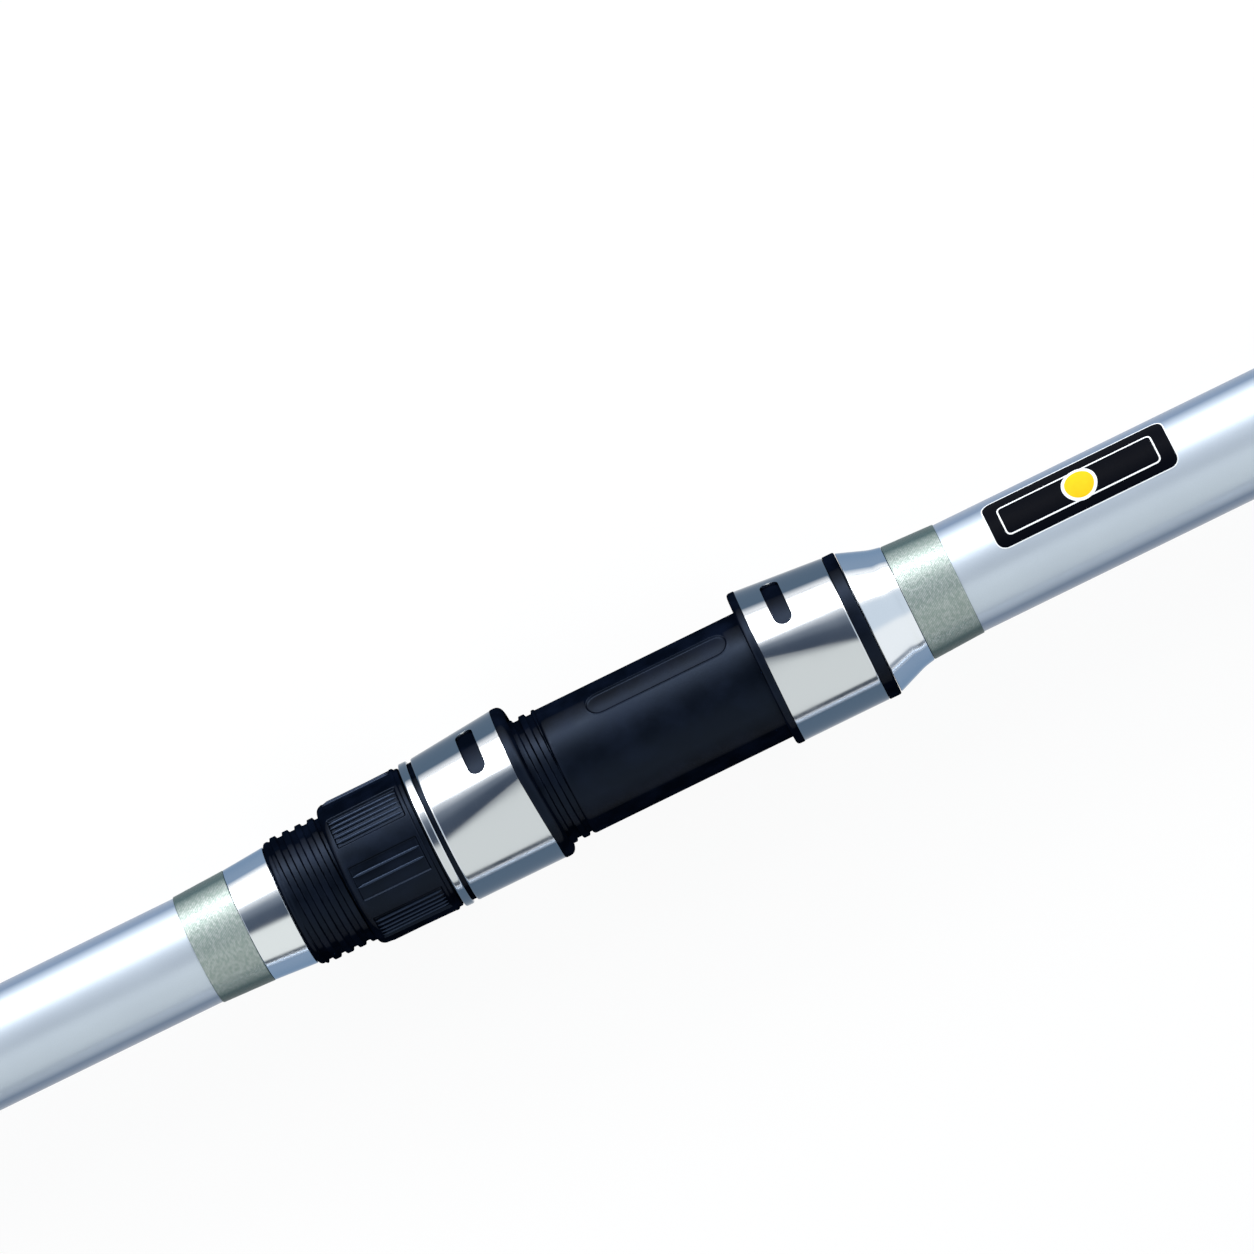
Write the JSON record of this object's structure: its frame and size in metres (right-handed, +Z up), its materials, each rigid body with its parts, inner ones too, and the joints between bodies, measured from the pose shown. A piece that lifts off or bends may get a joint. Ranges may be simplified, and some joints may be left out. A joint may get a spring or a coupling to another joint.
{
  "type": "surf rod",
  "caption": "Surf casting rod in its separate sections, with a screw-down reel seat, a sliding hood and lock nut, line guides, spigots and sockets.",
  "frame": {"origin": "middle of the footprint, on the surface that the three sections lie on", "axes": "+X along the sections towards the tip, +Y towards the side of the guides and the reel foot, +Z up"},
  "size_m": [1.572, 0.2366, 0.0313],
  "materials": {
    "blank": "silver-blue metallic paint under clear coat",
    "rubber": "satin",
    "polished": "polished",
    "grip": "satin",
    "seat_plastic": "satin black",
    "shim": "plain",
    "thread_wrap": "thread under clear epoxy",
    "dark_wrap": "dark metallic thread under clear epoxy",
    "silver_wrap": "silver thread under clear epoxy",
    "spigot": "matte carbon",
    "guide_frame": "polished steel",
    "guide_ring": "polished ceramic"
  },
  "bodies": {
    "butt": {"butt_blank": "blank", "butt_end_cap": "rubber", "butt_flare_ring": "polished", "butt_grip": "grip", "seat_shim_rear": "shim", "seat_shim_front": "shim", "seat_body": "seat_plastic", "rear_wrap": "thread_wrap", "rear_cone": "polished", "fixed_hood_cover": "polished", "fixed_hood_liner": "seat_plastic", "fixed_hood_band": "seat_plastic", "front_cone": "polished", "front_wrap": "thread_wrap", "top_wrap": "dark_wrap", "top_trim_ring": "polished", "butt_socket_ring": "polished"},
    "hood": {"hood_cover": "polished", "hood_liner": "seat_plastic", "thrust_ring": "polished"},
    "nut": {"lock_nut": "seat_plastic"},
    "mid": {"mid_blank": "blank", "mid_spigot": "spigot", "mid_mesh_wrap": "silver_wrap", "mid_socket_ring": "polished", "mid_guide_1_frame": "guide_frame", "mid_guide_1_ring": "guide_ring", "mid_guide_1_wraps": "thread_wrap", "mid_guide_2_frame": "guide_frame", "mid_guide_2_ring": "guide_ring", "mid_guide_2_wraps": "thread_wrap"},
    "tip": {"tip_blank": "blank", "tip_spigot": "spigot", "tip_top_frame": "guide_frame", "tip_top_ring": "guide_ring", "tip_top_wrap": "dark_wrap", "tip_guide_1_frame": "guide_frame", "tip_guide_1_ring": "guide_ring", "tip_guide_1_wraps": "thread_wrap", "tip_guide_2_frame": "guide_frame", "tip_guide_2_ring": "guide_ring", "tip_guide_2_wraps": "thread_wrap", "tip_guide_3_frame": "guide_frame", "tip_guide_3_ring": "guide_ring", "tip_guide_3_wraps": "thread_wrap", "tip_guide_4_frame": "guide_frame", "tip_guide_4_ring": "guide_ring", "tip_guide_4_wraps": "dark_wrap"}
  },
  "joints": [
    {"name": "hood_slide", "type": "slide", "parent": "butt", "child": "hood", "axis": [1, 0, 0], "range_m": [-0.0124, 0.0052]},
    {"name": "nut_turn", "type": "hinge", "parent": "hood", "child": "nut", "pos_m": [-0.119, 0.10196, 0.01558], "axis": [1, 0, 0], "range_deg": [-1717.5, 720.5]},
    {"name": "mid_lift", "type": "slide", "parent": "butt", "child": "mid", "axis": [0, 0, 1], "range_m": [0, 0.12]},
    {"name": "tip_lift", "type": "slide", "parent": "butt", "child": "tip", "axis": [0, 0, 1], "range_m": [0, 0.12]}
  ],
  "couplings": [
    {"joint": "nut_turn", "follows": "hood_slide", "rad_per_m": 2416.6}
  ]
}
